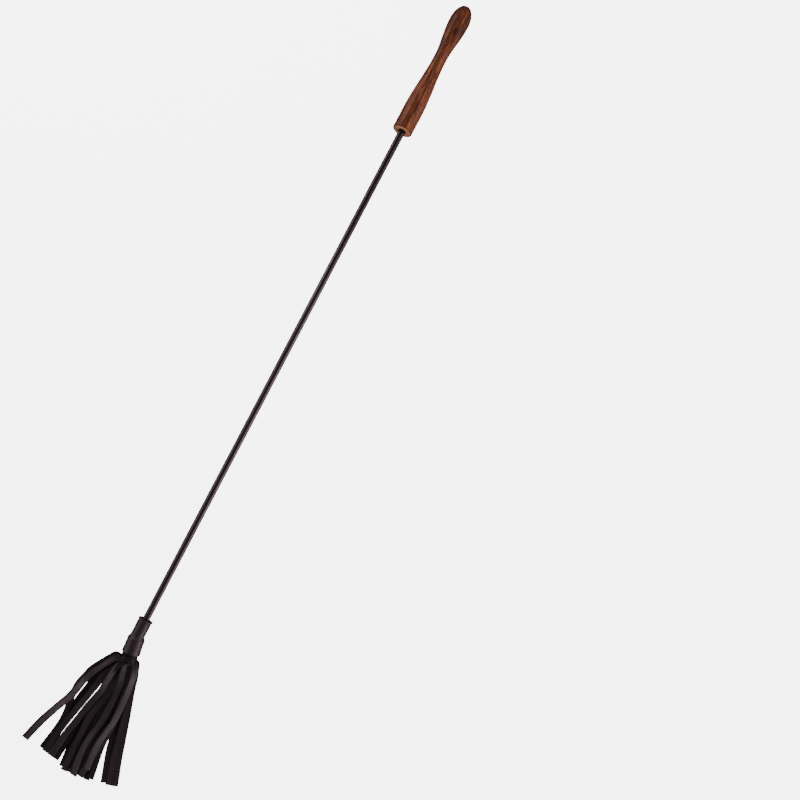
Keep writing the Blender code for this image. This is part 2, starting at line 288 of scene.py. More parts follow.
def finish_mesh(name, bm, materials, smooth_angle=40):
    bmesh.ops.recalc_face_normals(bm, faces=bm.faces)
    mesh = bpy.data.meshes.new(name)
    bm.to_mesh(mesh)
    bm.free()
    for finish in materials:
        mesh.materials.append(finish)
    mesh.shade_smooth()
    mesh.set_sharp_from_angle(angle=math.radians(smooth_angle))
    made = bpy.data.objects.new(name, mesh)
    bpy.context.scene.collection.objects.link(made)
    return made


def bridge(bm, near, far, index):
    """Faces between two rings, either of which may be a single point."""
    count = max(len(near), len(far))
    for i in range(count):
        quad = [near[i % len(near)], near[(i + 1) % len(near)]]
        quad += [far[(i + 1) % len(far)], far[i % len(far)]]
        face = bm.faces.new(dict.fromkeys(quad))
        face.material_index = index


def lathe(name, profile, axis, materials, closed=False, ripple=None, shape=None):
    """A solid turned about the swatter's axis. The profile is (x, radius, material index of the
    stretch that starts there); ripple adds to the radius, and shape moves a finished point."""
    bm = bmesh.new()
    rings = []
    for x, radius, _ in profile:
        ring = []
        for i in range(LATHE_SEGMENTS if radius > 1e-6 else 1):
            turn = 2 * math.pi * i / LATHE_SEGMENTS
            reach = radius + (ripple(x, turn, radius) if ripple and radius > 1e-6 else 0)
            point = Vector((x, axis[0] + reach * math.cos(turn), axis[1] + reach * math.sin(turn)))
            if shape:
                point = shape(point)
            ring.append(bm.verts.new(point * MM))
        rings.append(ring)
    for (_, _, index), near, far in zip(profile, rings, rings[1:]):
        bridge(bm, near, far, index)
    if closed:
        bridge(bm, rings[-1], rings[0], profile[-1][2])
    return finish_mesh(name, bm, materials)


def arc(centre_x, centre_radius, radius, start, end, steps):
    """Points on a circle in the (x, radius) plane, with angles in degrees from +X."""
    angles = [math.radians(start + (end - start) * i / steps) for i in range(steps + 1)]
    return [(centre_x + radius * math.cos(a), centre_radius + radius * math.sin(a)) for a in angles]


def refine(points, step):
    """The same outline with points at most one step apart."""
    fine = [points[0]]
    for (x0, r0), (x1, r1) in zip(points, points[1:]):
        count = max(1, math.ceil(math.hypot(x1 - x0, r1 - r0) / step))
        steps = range(1, count + 1)
        fine += [(x0 + (x1 - x0) * i / count, r0 + (r1 - r0) * i / count) for i in steps]
    return fine


# ---------------------------------------------------------------- shader helpers

def add(tree, kind, values=None, **settings):
    """A node with its settings, and its inputs given values or linked to sockets."""
    node = tree.nodes.new(kind)
    for key, value in settings.items():
        setattr(node, key, value)
    for key, value in (values or {}).items():
        if isinstance(value, bpy.types.NodeSocket):
            tree.links.new(value, node.inputs[key])
        else:
            node.inputs[key].default_value = value
    return node


def maths(tree, operation, a, b=0.0):
    return add(tree, "ShaderNodeMath", {0: a, 1: b}, operation=operation).outputs[0]


def stretched(tree, value, factor, offset):
    """value x factor + offset"""
    values = {0: value, 1: factor, 2: offset}
    return add(tree, "ShaderNodeMath", values, operation="MULTIPLY_ADD").outputs[0]


def part_of(tree, vector, axis):
    return add(tree, "ShaderNodeSeparateXYZ", {0: vector}).outputs[axis]


def moved(tree, vector, offset, operation="ADD"):
    return add(tree, "ShaderNodeVectorMath", {0: vector, 1: offset}, operation=operation).outputs[0]


def scaled(tree, vector, scale):
    return moved(tree, vector, scale, "MULTIPLY")


def noise_of(tree, vector, scale, detail=3.0, roughness=0.5, distortion=0.0):
    values = {"Vector": vector, "Scale": scale, "Detail": detail, "Roughness": roughness}
    values["Distortion"] = distortion
    return add(tree, "ShaderNodeTexNoise", values).outputs["Fac"]


def ramp(tree, factor, stops):
    """A colour ramp through (position, grey or colour) stops."""
    node = add(tree, "ShaderNodeValToRGB", {"Fac": factor})
    elements = node.color_ramp.elements
    while len(elements) < len(stops):
        elements.new(0.5)
    for element, (position, colour) in zip(elements, stops):
        element.position = position
        element.color = (*colour, 1) if isinstance(colour, tuple) else (colour, colour, colour, 1)
    return node.outputs["Color"]


def mixed(tree, factor, a, b, mode="MIX"):
    node = add(tree, "ShaderNodeMix", {0: factor}, data_type="RGBA", blend_type=mode)
    for slot, value in ((6, a), (7, b)):
        if isinstance(value, bpy.types.NodeSocket):
            tree.links.new(value, node.inputs[slot])
        else:
            node.inputs[slot].default_value = (*value, 1)
    return node.outputs[2]


def bumped(tree, height, distance, strength=1.0, below=None):
    values = {"Height": height, "Distance": distance * MM, "Strength": strength}
    if below is not None:
        values["Normal"] = below
    return add(tree, "ShaderNodeBump", values).outputs["Normal"]


def new_material(name):
    made = bpy.data.materials.new(name)
    made.use_nodes = True
    return made, made.node_tree


def finish_shader(tree, **inputs):
    shader = tree.nodes["Principled BSDF"]
    names = {
        "colour": "Base Color", "roughness": "Roughness", "normal": "Normal",
        "specular": "Specular IOR Level", "specular_tint": "Specular Tint",
        "coat": "Coat Weight", "coat_roughness": "Coat Roughness",
        "sheen": "Sheen Weight", "sheen_roughness": "Sheen Roughness", "sheen_tint": "Sheen Tint",
        "emission": "Emission Color", "emission_strength": "Emission Strength",
    }
    for key, value in inputs.items():
        socket = shader.inputs[names[key]]
        if isinstance(value, bpy.types.NodeSocket):
            tree.links.new(value, socket)
        elif isinstance(value, tuple):
            socket.default_value = (*value, 1)
        else:
            socket.default_value = value


def object_mm(tree):
    """Object coordinates in millimetres."""
    where = add(tree, "ShaderNodeTexCoord").outputs["Object"]
    return scaled(tree, where, (1000, 1000, 1000))


# ---------------------------------------------------------------- materials

def wood_rings(tree, where, axis):
    """Growth rings of a tree whose heart runs beside the handle, at a slight slant to it."""
    from_heart = moved(tree, where, (0, axis[0] + 13, axis[1] - 19), "SUBTRACT")
    stretched_out = scaled(tree, where, (0.018, 0.05, 0.05))
    sway = add(tree, "ShaderNodeTexNoise", {"Vector": stretched_out, "Scale": 1.0})
    swayed = scaled(tree, sway.outputs["Color"], (0, 11, 11))
    flat = scaled(tree, moved(tree, from_heart, swayed), (0.035, 1, 1))
    reach = add(tree, "ShaderNodeVectorMath", {0: flat}, operation="LENGTH").outputs["Value"]
    return maths(tree, "FRACT", maths(tree, "MULTIPLY", reach, 0.36))


def wood_material(layout):
    made, tree = new_material("oiled_hardwood")
    where = object_mm(tree)
    rings = wood_rings(tree, where, layout["axis"])
    body = ramp(tree, rings, ((0.0, (0.20, 0.056, 0.026)), (0.45, (0.155, 0.041, 0.020)),
                              (0.82, (0.075, 0.02, 0.011)), (1.0, (0.19, 0.053, 0.025))))
    streaks = noise_of(tree, scaled(tree, where, (0.028, 0.55, 0.55)), 1.0, 4, 0.65)
    dark = ramp(tree, streaks, ((0.46, 0.0), (0.6, 1.0)))
    body = mixed(tree, dark, body, (0.040, 0.012, 0.007))
    golden = noise_of(tree, scaled(tree, where, (0.035, 0.8, 0.8)), 1.0, 3, 0.55)
    body = mixed(tree, ramp(tree, golden, ((0.52, 0.0), (0.68, 0.85))), body, (0.34, 0.115, 0.034))
    fibre = noise_of(tree, scaled(tree, where, (0.09, 1.6, 1.6)), 1.0, 5, 0.75)
    body = mixed(tree, ramp(tree, fibre, ((0.34, 0.75), (0.62, 0.0))), body, (0.035, 0.010, 0.006))
    pores = noise_of(tree, scaled(tree, where, (0.35, 5.5, 5.5)), 1.0, 1, 0.4)
    pitted = ramp(tree, pores, ((0.60, 0.0), (0.68, 1.0)))
    body = mixed(tree, pitted, body, (0.022, 0.007, 0.005))
    # darker towards the butt, brighter along the waist and front
    from_butt = maths(tree, "SUBTRACT", part_of(tree, where, "X"), layout["butt"])
    share = maths(tree, "MULTIPLY", from_butt, 1 / HANDLE_LENGTH)
    darker_towards_butt = ramp(tree, share, ((0.0, 0.62), (0.2, 0.66), (0.45, 1.1), (0.62, 1.1), (1.0, 1.08)))
    body = mixed(tree, 1.0, body, darker_towards_butt, "MULTIPLY")
    smear = noise_of(tree, scaled(tree, where, (0.05, 0.2, 0.2)), 1.0, 3, 0.6)
    roughness = ramp(tree, smear, ((0.3, 0.42), (0.7, 0.6)))
    relief = bumped(tree, fibre, 0.05, 0.35)
    relief = bumped(tree, maths(tree, "SUBTRACT", 1.0, pitted), 0.06, 0.6, relief)
    finish_shader(tree, colour=body, roughness=roughness, normal=relief, specular=0.06,
                  specular_tint=(1.0, 0.5, 0.3), coat=0.09, coat_roughness=0.1)
    return made


def end_grain_material(axis):
    made, tree = new_material("raw_end_grain")
    where = object_mm(tree)
    rings = wood_rings(tree, where, axis)
    pale = (0.56, 0.27, 0.155)
    body = ramp(tree, rings, ((0.0, pale), (0.7, (0.44, 0.19, 0.10)), (1.0, pale)))
    drawn_out = scaled(tree, where, (0.3, 1, 1))
    dots = add(tree, "ShaderNodeTexVoronoi", {"Vector": drawn_out, "Scale": 3.2})
    pores = ramp(tree, dots.outputs["Distance"], ((0.08, 1.0), (0.2, 0.0)))
    body = mixed(tree, pores, body, (0.16, 0.06, 0.035))
    across = scaled(tree, moved(tree, where, (0, *axis), "SUBTRACT"), (0, 1, 1))
    reach = add(tree, "ShaderNodeVectorMath", {0: across}, operation="LENGTH").outputs["Value"]
    share = maths(tree, "MULTIPLY", reach, 1 / HANDLE_FRONT_RADIUS)
    burnt = ramp(tree, share, ((0.80, 0.0), (0.93, 0.85)))
    body = mixed(tree, burnt, body, (0.07, 0.022, 0.012))
    saw = noise_of(tree, scaled(tree, where, (1, 0.5, 6.0)), 1.0, 2, 0.5)
    relief = bumped(tree, saw, 0.08, 0.5)
    finish_shader(tree, colour=body, roughness=0.72, normal=relief, specular=0.3)
    return made


def glue_material():
    made, tree = new_material("amber_glue_rim")
    where = object_mm(tree)
    cloud = noise_of(tree, where, 1.3, 3, 0.6)
    body = ramp(tree, cloud, ((0.35, (0.42, 0.24, 0.07)), (0.65, (0.62, 0.40, 0.15))))
    finish_shader(tree, colour=body, roughness=0.38, normal=bumped(tree, cloud, 0.1, 0.5))
    return made


def rod_material():
    """Dull by the handle and shinier from about a third of the way along."""
    made, tree = new_material("gloss_black_sleeve")
    where = object_mm(tree)
    cloud = noise_of(tree, scaled(tree, where, (0.02, 0.3, 0.3)), 1.0, 3, 0.6)
    body = ramp(tree, cloud, ((0.3, (0.0052, 0.0027, 0.0031)), (0.7, (0.0115, 0.0064, 0.0070))))
    drawn = noise_of(tree, scaled(tree, where, (0.01, 4.5, 4.5)), 1.0, 3, 0.7)
    scuffs = noise_of(tree, scaled(tree, where, (0.12, 1.1, 1.1)), 1.0, 5, 0.75)
    dusty = ramp(tree, scuffs, ((0.56, 0.0), (0.78, 0.5)))
    body = mixed(tree, dusty, body, (0.03, 0.026, 0.028))
    scratches = noise_of(tree, scaled(tree, where, (0.5, 9, 9)), 1.0, 1, 0.3, 1.5)
    lines = ramp(tree, scratches, ((0.66, 0.0), (0.70, 1.0)))
    roughness = ramp(tree, scuffs, ((0.35, 0.13), (0.75, 0.34)))
    relief = bumped(tree, drawn, 0.02, 0.5)
    relief = bumped(tree, maths(tree, "SUBTRACT", 1.0, lines), 0.015, 0.4, relief)
    share = stretched(tree, part_of(tree, where, "X"), 1 / 480, 0.51)
    shine = ramp(tree, share, ((0.0, 0.14), (0.18, 0.2), (0.34, 0.52), (0.7, 0.55), (0.9, 0.42)))
    finish_shader(tree, colour=body, roughness=roughness, normal=relief, specular=shine,
                  specular_tint=(1.0, 0.82, 0.84))
    return made


def glass_fibre_material():
    made, tree = new_material("pultruded_glass_fibre")
    where = object_mm(tree)
    strands = noise_of(tree, scaled(tree, where, (0.03, 6, 6)), 1.0, 3, 0.6)
    body = ramp(tree, strands, ((0.3, (0.50, 0.45, 0.33)), (0.7, (0.66, 0.62, 0.52))))
    finish_shader(tree, colour=body, roughness=0.45, normal=bumped(tree, strands, 0.03, 0.6))
    return made


def rubber_material():
    made, tree = new_material("matte_moulded_rubber")
    where = object_mm(tree)
    cloud = noise_of(tree, where, 0.28, 4, 0.6)
    body = ramp(tree, cloud, ((0.3, (0.0070, 0.0042, 0.0054)), (0.7, (0.0124, 0.0078, 0.0096))))
    bloom = noise_of(tree, where, 0.9, 5, 0.7)
    body = mixed(tree, ramp(tree, bloom, ((0.55, 0.0), (0.8, 0.3))), body, (0.035, 0.025, 0.028))
    roughness = ramp(tree, bloom, ((0.3, 0.36), (0.7, 0.5)))
    matt = noise_of(tree, where, 9.0, 2, 0.6)
    handled = noise_of(tree, where, 1.6, 3, 0.55)
    relief = bumped(tree, matt, 0.03, 0.5)
    relief = bumped(tree, handled, 0.12, 0.35, relief)
    finish_shader(tree, colour=body, roughness=roughness, normal=relief, specular=0.34,
                  specular_tint=(1.0, 0.84, 0.92))
    return made


def thread_material():
    made, tree = new_material("waxed_linen_thread")
    where = object_mm(tree)
    values = {"Vector": scaled(tree, where, (1, 0.6, 0.6)), "Scale": 2.4}
    values |= {"Distortion": 2.0, "Detail": 2.0}
    ply = add(tree, "ShaderNodeTexWave", values, bands_direction="DIAGONAL").outputs["Fac"]
    body = ramp(tree, ply, ((0.2, (0.17, 0.125, 0.07)), (0.8, (0.36, 0.29, 0.18))))
    finish_shader(tree, colour=body, roughness=0.55, normal=bumped(tree, ply, 0.08), specular=0.4)
    return made


def leather_coordinates(tree):
    """Millimetres along and across a strip, which stay with the leather when it bends."""
    return add(tree, "ShaderNodeAttribute", attribute_name="skin").outputs["Vector"]


# the tone attribute: the leather's own tone, with painted highlight and shade along listed strips
def leather_tone_and_painted_light(tree):
    return add(tree, "ShaderNodeAttribute", attribute_name="tone_and_painted_light").outputs["Fac"]


def painted_gap_shade(tree, where):
    """Painted shade near a strip's two long edges, standing in for the shadow in the gaps between
    strips.
    """
    across = maths(tree, "ABSOLUTE", part_of(tree, where, "Y"))
    ragged = noise_of(tree, scaled(tree, where, (0.3, 0.6, 1)), 1.0, 3, 0.6)
    ragged = maths(tree, "MULTIPLY", ragged, 0.6)
    share = maths(tree, "ADD", maths(tree, "MULTIPLY", across, 2 / STRIP_WIDTH), ragged)
    return ramp(tree, share, ((0.98, 0.0), (1.28, 0.8)))


def painted_neck_shade(tree, where):
    """Painted shade on colour, specular and sheen towards the crowded neck: 0.3 in it, 1 outside.
    """
    along = part_of(tree, where, "X")
    return ramp(tree, maths(tree, "MULTIPLY", along, 1 / 16), ((0.3, 0.3), (1.0, 1.0)))


def grain_material():
    """The outer face: dyed and lightly polished, with a fine pebble and soft creases."""
    made, tree = new_material("leather_grain_face")
    where = leather_coordinates(tree)
    tone_and_painted_light = leather_tone_and_painted_light(tree)
    # painted highlight and shade: the tone runs from the dark face to a lit, purple-grey highlight
    # colour
    body = mixed(tree, tone_and_painted_light, (0.0078, 0.0044, 0.0066), (0.064, 0.039, 0.059))
    cloud = noise_of(tree, scaled(tree, where, (0.07, 0.3, 1)), 1.0, 4, 0.65)
    body = mixed(tree, ramp(tree, cloud, ((0.3, 0.55), (0.7, 0.0))), body, (0.006, 0.0036, 0.0052))
    warm = noise_of(tree, scaled(tree, where, (0.11, 0.4, 1)), 1.7, 3, 0.5)
    body = mixed(tree, ramp(tree, warm, ((0.5, 0.0), (0.75, 0.45))), body, (0.044, 0.024, 0.022))
    pebble = add(tree, "ShaderNodeTexVoronoi", {"Vector": where, "Scale": 2.1, "Randomness": 1.0},
                 feature="DISTANCE_TO_EDGE").outputs["Distance"]
    cells = ramp(tree, pebble, ((0.0, 0.0), (0.22, 1.0)))
    body = mixed(tree, ramp(tree, pebble, ((0.0, 0.55), (0.12, 0.0))), body, (0.004, 0.003, 0.004))
    # painted shade along the long edges, where the gaps between strips fall dark
    body = mixed(tree, painted_gap_shade(tree, where), body, (0.0022, 0.0015, 0.002))
    # painted neck shade: colour, specular and sheen dimmed where the strips crowd together
    free = painted_neck_shade(tree, where)
    body = mixed(tree, 1.0, body, free, "MULTIPLY")
    specular = maths(tree, "MULTIPLY", free, 0.3)
    creases = noise_of(tree, scaled(tree, where, (1.1, 0.16, 1)), 1.0, 3, 0.6, 0.6)
    roughness = ramp(tree, cloud, ((0.3, 0.42), (0.7, 0.58)))
    relief = bumped(tree, cells, 0.05, 0.55)
    relief = bumped(tree, creases, 0.16, 0.4, relief)
    finish_shader(tree, colour=body, roughness=roughness, normal=relief, specular=specular,
                  sheen=0.05, sheen_roughness=0.4)
    return made


def suede_material():
    """The flesh face: brushed, matt and a little browner."""
    made, tree = new_material("leather_suede_face")
    where = leather_coordinates(tree)
    tone_and_painted_light = leather_tone_and_painted_light(tree)
    # painted highlight and shade: the tone runs from the dark nap to a lit suede colour
    body = mixed(tree, tone_and_painted_light, (0.0050, 0.0029, 0.0033), (0.031, 0.0187, 0.0205))
    nap = noise_of(tree, scaled(tree, where, (0.5, 0.9, 1)), 1.0, 5, 0.75)
    body = mixed(tree, ramp(tree, nap, ((0.35, 0.6), (0.65, 0.0))), body, (0.004, 0.003, 0.0034))
    fuzz = noise_of(tree, where, 7.0, 2, 0.7)
    body = mixed(tree, ramp(tree, fuzz, ((0.5, 0.0), (0.8, 0.4))), body, (0.038, 0.027, 0.027))
    # painted shade along the long edges, where the gaps between strips fall dark
    body = mixed(tree, painted_gap_shade(tree, where), body, (0.0025, 0.0017, 0.0019))
    # painted neck shade: colour, sheen and nap dimmed where the strips crowd together
    free = painted_neck_shade(tree, where)
    body = mixed(tree, 1.0, body, free, "MULTIPLY")
    relief = bumped(tree, fuzz, 0.08, 0.7)
    relief = bumped(tree, nap, 0.12, 0.4, relief)
    sheen = maths(tree, "MULTIPLY", free, 0.12)
    finish_shader(tree, colour=body, roughness=0.92, normal=relief, specular=0.2,
                  sheen=sheen, sheen_roughness=0.5, sheen_tint=(0.5, 0.42, 0.45))
    return made


def cut_edge_material():
    """The cut sides and tips: raw fibres under a darker stain."""
    made, tree = new_material("leather_cut_edge")
    where = leather_coordinates(tree)
    fibres = noise_of(tree, scaled(tree, where, (2.2, 5, 1)), 1.0, 3, 0.7)
    body = ramp(tree, fibres, ((0.35, (0.007, 0.005, 0.0055)), (0.7, (0.030, 0.021, 0.020))))
    relief = bumped(tree, fibres, 0.08, 0.8)
    finish_shader(tree, colour=body, roughness=0.85, normal=relief, specular=0.25)
    return made


def floor_material():
    """White to the camera; everything else sees it dimly, so that dark edges stay dark."""
    made, tree = new_material("white_paper_sweep")
    where = object_mm(tree)
    tooth = noise_of(tree, where, 0.02, 3, 0.6)
    paper = ramp(tree, tooth, ((0.3, (0.90, 0.90, 0.90)), (0.7, (0.925, 0.925, 0.925))))
    seen = add(tree, "ShaderNodeLightPath").outputs["Is Camera Ray"]
    body = mixed(tree, seen, (0.16, 0.16, 0.16), paper)
    glow = maths(tree, "MULTIPLY", seen, FLOOR_GLOW)
    finish_shader(tree, colour=body, roughness=0.9, specular=0.1,
                  emission=(1.0, 1.0, 1.0), emission_strength=glow)
    return made


# ---------------------------------------------------------------- handle, rod and ferrule

def handle_radius(x):
    """Domed butt and bulb, a slim waist, then a swell to the straight front."""
    if x < HANDLE_BULB_AT:
        share = 1 - ((HANDLE_BULB_AT - x) / HANDLE_BULB_AT) ** HANDLE_DOME_POWER
        return HANDLE_BULB_RADIUS * share ** (1 / HANDLE_DOME_POWER)
    if x < HANDLE_WAIST_AT:
        t = (x - HANDLE_BULB_AT) / (HANDLE_WAIST_AT - HANDLE_BULB_AT)
        return HANDLE_BULB_RADIUS + (HANDLE_WAIST_RADIUS - HANDLE_BULB_RADIUS) * float(ease(t))
    t = (x - HANDLE_WAIST_AT) / (HANDLE_FRONT_FROM - HANDLE_WAIST_AT)
    return HANDLE_WAIST_RADIUS + (HANDLE_FRONT_RADIUS - HANDLE_WAIST_RADIUS) * float(ease(t))


def make_handle(layout, wood, end_grain, glue):
    dome = [HANDLE_BULB_AT * (1 - math.cos(math.pi / 2 * i / 18)) for i in range(19)]
    body_end = HANDLE_LENGTH - HANDLE_EDGE_RADIUS
    steps = 110
    body = [HANDLE_BULB_AT + (body_end - HANDLE_BULB_AT) * i / steps for i in range(1, steps + 1)]
    profile = [(x, handle_radius(x), 0) for x in dome + body]
    edge_centre = HANDLE_FRONT_RADIUS - HANDLE_EDGE_RADIUS
    edge = arc(body_end, edge_centre, HANDLE_EDGE_RADIUS, 90, 0, 6)
    profile += [(x, r, 0) for x, r in edge[1:-1]]
    rim = HANDLE_BORE_RADIUS + HANDLE_BORE_CHAMFER
    face = [(HANDLE_LENGTH, edge_centre), (HANDLE_LENGTH, rim)]
    profile += [(x, r, 1) for x, r in refine(face, 0.6)[:-1]]
    profile += [(HANDLE_LENGTH, rim, 2)]
    profile += [(HANDLE_LENGTH - HANDLE_BORE_CHAMFER, HANDLE_BORE_RADIUS, 0)]
    profile += [(HANDLE_LENGTH - HANDLE_BORE_DEPTH, HANDLE_BORE_RADIUS, 0)]
    profile += [(HANDLE_LENGTH - HANDLE_BORE_DEPTH, 0, 0)]
    placed = [(layout["butt"] + x, r, index) for x, r, index in profile]

    def ripple(x, turn, radius):
        """The slight unevenness that sanding leaves."""
        if radius < HANDLE_WAIST_RADIUS * 0.9:
            return 0
        spot = Vector((x * 0.05, math.cos(turn) * 0.7, math.sin(turn) * 0.7))
        return 0.07 * noise.noise(spot)

    looks = (wood, end_grain, glue)
    made = lathe("handle_turned_wood", placed, layout["axis"], looks, ripple=ripple)
    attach(made, "body")
    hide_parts("handle")


def make_rod(layout, plastic, glass_fibre):
    start, end = layout["sleeve"]
    rounding = ROD_END_ROUNDING
    outer = [(start, ROD_RADIUS - rounding)]
    outer += arc(start + rounding, ROD_RADIUS - rounding, rounding, 180, 90, 4)[1:]
    outer += arc(end - rounding, ROD_RADIUS - rounding, rounding, 90, 0, 4)
    profile = refine(outer, 3.0) + [(end, ROD_BORE_RADIUS), (start, ROD_BORE_RADIUS)]

    def ripple(x, turn, radius):
        """An extruded skin is never quite true."""
        if radius < ROD_RADIUS - 0.01:
            return 0
        spot = Vector((x * 0.035, math.cos(turn) * 0.5, math.sin(turn) * 0.5))
        return 0.035 * noise.noise(spot)

    made = lathe("rod_gloss_sleeve", [(x, r, 0) for x, r in profile], layout["axis"], (plastic,),
                 closed=True, ripple=ripple)
    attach(made, "body")
    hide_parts("rod_sleeve")
    core = bpy.data.objects["rod_core"]
    core.data.materials.clear()
    core.data.materials.append(glass_fibre)


def make_ferrule(layout, rubber):
    lip, length = layout["lip"], FERRULE_LENGTH
    shoulder = length - FERRULE_WIDE_LENGTH
    bend_at = shoulder - FERRULE_SHOULDER_LENGTH
    wide, flared = FERRULE_WIDE_RADIUS, FERRULE_MOUTH_RADIUS
    narrow, rim = FERRULE_NARROW_RADIUS, FERRULE_LIP_RADIUS
    outline = [(2.2, FERRULE_BORE_RADIUS), (2.2, narrow - 1.35)]
    outline += [(0.55, narrow - 0.75), (0.15, rim - 1.05)]
    outline += arc(0.75, rim - 0.75, 0.75, 180, 20, 8)
    outline += [(1.65, rim - 0.55), (2.1, narrow + 0.05)]
    outline += [(2.5, narrow - 0.18), (2.9, narrow - 0.12)]
    outline += [(3.4, narrow + 0.12), (6, narrow + 0.1), (10, narrow)]
    outline += [(bend_at - 1.2, narrow - 0.04), (bend_at - 0.2, narrow + 0.06)]
    outline += [(bend_at + 0.5, narrow + 0.3)]
    outline += arc(shoulder + 0.5, wide - 1.2, 1.2, 140, 90, 6)
    outline += [(shoulder + 3, wide - 0.08), (shoulder + 7, wide + 0.1)]
    outline += arc(length - 0.9, flared - 0.9, 0.9, 90, -20, 8)
    outline += [(length - 0.5, FERRULE_CUP_RADIUS + 0.05), (length - 1.2, FERRULE_CUP_RADIUS)]
    outline += [(shoulder + 0.3, FERRULE_CUP_RADIUS), (shoulder, FERRULE_CUP_RADIUS - 0.4)]
    outline += [(shoulder, ROD_BORE_RADIUS), (shoulder - FERRULE_WEB, ROD_BORE_RADIUS)]
    outline += [(shoulder - FERRULE_WEB, FERRULE_BORE_RADIUS)]
    profile = [(lip + x, r, 0) for x, r in refine(outline, 0.7)]
    pivot = Vector((lip + bend_at, layout["axis"][0], 0))

    def bend_from_shoulder(point):
        share = float(ease((point.x - pivot.x) / FERRULE_BEND_LENGTH + 0.5))
        return pivot + Matrix.Rotation(layout["bend"] * share, 3, "Z") @ (point - pivot)

    def ripple(x, turn, radius):
        """Two mould seams, a gate pip under the lip, and the give of soft rubber."""
        if radius < narrow - 0.3:
            return 0
        seam = 0.07 * math.exp(-((math.sin(turn - 0.5) * radius / 0.22) ** 2))
        along, round_by = (x - lip - 5.4) / 0.45, math.sin((turn - 2.2) / 2) * 2 * radius / 0.5
        pip = 0.28 * math.exp(-(along ** 2) - round_by ** 2)
        spot = Vector((x * 0.22, math.cos(turn) * 1.1, math.sin(turn) * 1.1))
        return seam + pip + 0.09 * noise.noise(spot)

    made = lathe("ferrule_moulded_rubber", profile, layout["axis"], (rubber,), closed=True,
                 ripple=ripple, shape=bend_from_shoulder)
    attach(made, "body")
    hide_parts("ferrule")


# ---------------------------------------------------------------- tassel

def set_attribute(mesh, name, kind, values):
    attribute = mesh.attributes.new(name, kind, "POINT")
    key = "vector" if kind == "FLOAT_VECTOR" else "value"
    attribute.data.foreach_set(key, np.asarray(values, np.float32).ravel())


def make_root(layout, grain):
    """The strips' bound ends: a pleated plug that fills the ferrule's cup and ends in the fan."""
    bm = bmesh.new()
    rings = []
    skin = []
    for x, radius in refine(ROOT_STATIONS, 0.5):
        ring = []
        flat = float(ease((x - 1) / 5))
        shift = ROOT_SHIFT * float(ease((x + 2) / 3))
        for i in range(LATHE_SEGMENTS):
            turn = 2 * math.pi * i / LATHE_SEGMENTS
            spot = Vector((x * 0.12, math.cos(turn) * 2, math.sin(turn) * 2))
            pleat = 0.16 * math.sin(17 * turn + 3 * noise.noise(spot))
            pleat += 0.12 * noise.noise(spot * 3)
            y = (radius * (1 + 0.35 * flat) + pleat) * math.cos(turn) + shift
            z = (radius * (1 - 0.25 * flat) + pleat) * math.sin(turn)
            ring.append(bm.verts.new(to_frame(layout, (x, y, z))))
            skin.append((x, turn * NECK_RADIUS, 50))
        rings.append(ring)
    for near, far in zip(rings, rings[1:]):
        bridge(bm, near, far, 0)
    bm.faces.new(rings[0])
    bm.faces.new(rings[-1])
    made = finish_mesh("tassel_root_gathered_leather", bm, (grain,), 60)
    set_attribute(made.data, "skin", "FLOAT_VECTOR", skin)
    set_attribute(made.data, "tone_and_painted_light", "FLOAT", [ROOT_TONE] * len(skin))
    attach(made, "body")
    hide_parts("tassel_root")


def to_frame(layout, point):
    """A point given ahead of the mouth, to its side and over the axis, in the frame's metres."""
    turn = layout["bend"]
    x, y, z = point
    return Vector((
        layout["mouth"].x + x * math.cos(turn) - y * math.sin(turn),
        layout["mouth"].y + x * math.sin(turn) + y * math.cos(turn),
        layout["mouth"].z + z,
    )) * MM


def hermite(points, slopes, steps):
    """A smooth curve through the points with the given slopes."""
    spans = len(points) - 1
    along = np.linspace(0, spans, steps + 1)
    i = np.minimum(along.astype(int), spans - 1)
    t = (along - i)[:, None]
    a, b = points[i], points[i + 1]
    sa, sb = slopes[i], slopes[i + 1]
    return (a * (2 * t ** 3 - 3 * t ** 2 + 1) + sa * (t ** 3 - 2 * t ** 2 + t)
            + b * (3 * t ** 2 - 2 * t ** 3) + sb * (t ** 3 - t ** 2))


def strip_height(tier, reach):
    """Height of a tier over the ferrule's axis: spread at the roots, settled further out."""
    root = (tier - MIDDLE_TIER) * TIER_ROOT_PITCH
    rest = TIER_REST_HEIGHT + tier * TIER_REST_PITCH - AXIS_HEIGHT
    return root + (rest - root) * ease((reach - STRIP_START) / (STRIP_LANDS_AT - STRIP_START))


def row_place(number, count):
    """Where a strip is in its row, from -1 to 1."""
    return 2 * number / (count - 1) - 1


def neck_place(tier, number, count):
    """Where a strip sits on the neck: (side, height) and its angle from straight up."""
    spread = row_place(number, count)
    if tier in (0, 3):
        turn = math.radians(OUTER_TIER_SPREAD) * spread
        if tier == 0:
            turn = math.pi - turn
    elif number in (0, count - 1):
        turn = math.radians(UPPER_OUTERMOST_TURN if tier == 2 else LOWER_OUTERMOST_TURN)
        turn = math.copysign(turn, spread)
    else:
        return INNER_TIER_HALF_ROW * spread, INNER_TIER_PITCH * (tier - MIDDLE_TIER), 0.0
    return NECK_RADIUS * math.sin(turn), NECK_RADIUS * math.cos(turn), turn


